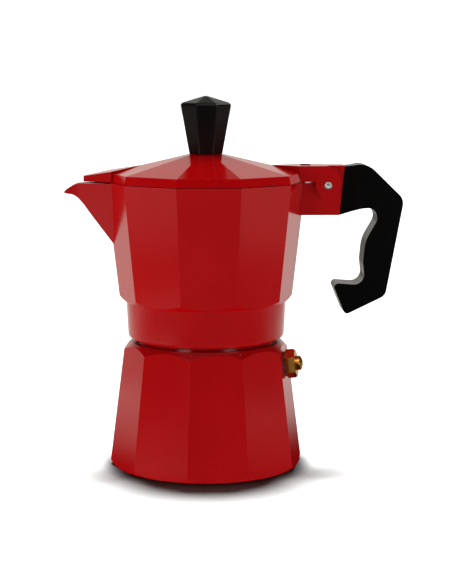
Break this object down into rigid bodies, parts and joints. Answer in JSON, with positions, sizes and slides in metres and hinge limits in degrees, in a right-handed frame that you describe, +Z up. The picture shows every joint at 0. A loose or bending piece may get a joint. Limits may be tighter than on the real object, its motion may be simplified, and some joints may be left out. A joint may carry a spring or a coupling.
{
  "type": "moka pot",
  "caption": "Stovetop coffee maker with faceted boiler and collector, screw neck, hinged lid with beak, knob, side handle, funnel, filter and spring safety valve.",
  "frame": {"origin": "middle of the boiler's flat base, on the table", "axes": "+Z up along the pot's axis, +X towards the handle, -X towards the spout"},
  "size_m": [0.1338, 0.0756, 0.1472],
  "materials": {
    "red_paint": "cast aluminium with a satin-gloss red paint outside, bare inside",
    "black_plastic": "black moulded heat-proof plastic, softly glossy",
    "brass": "turned brass",
    "steel": "plain bright steel",
    "bare_aluminium": "pressed bare aluminium sheet",
    "white_rubber": "food-safe off-white rubber",
    "fibre_washer": "dark sealing washer"
  },
  "bodies": {
    "boiler": {"boiler": "red_paint", "valve_washer": "fibre_washer", "valve_body": "brass", "valve_cap": "brass", "valve_spring": "steel"},
    "poppet": {"valve_poppet": "steel", "valve_seal": "fibre_washer"},
    "funnel": {"funnel_body": "bare_aluminium", "funnel_sieve": "bare_aluminium"},
    "collector": {"collector": "red_paint", "rubber_ring": "white_rubber", "filter_plate": "bare_aluminium", "hinge_pin": "steel", "handle": "black_plastic", "handle_washer": "steel", "handle_screw": "steel"},
    "lid": {"lid": "red_paint", "knob": "black_plastic", "knob_insert": "brass", "knob_washer": "steel", "knob_screw": "steel"}
  },
  "joints": [
    {"name": "funnel_rise", "type": "slide", "parent": "boiler", "child": "funnel", "axis": [0, 0, 1], "range_m": [0, 0.0113]},
    {"name": "collector_turn", "type": "hinge", "parent": "funnel", "child": "collector", "pos_m": [0, 0, 0.057], "axis": [0, 0, 1], "range_deg": [0, 1620]},
    {"name": "lid_hinge", "type": "hinge", "parent": "collector", "child": "lid", "pos_m": [0.0479, 0, 0.1122], "axis": [0, 1, 0], "range_deg": [0, 100]},
    {"name": "valve_lift", "type": "slide", "parent": "boiler", "child": "poppet", "axis": [0.9688, -0.2165, 0.1208], "range_m": [0, 0.0012], "stiffness_N_per_m": 1000, "springref_m": -0.002, "deforming": ["valve_spring"]}
  ],
  "couplings": [
    {"joint": "funnel_rise", "follows": "collector_turn", "m_per_rad": 0.00039789}
  ]
}
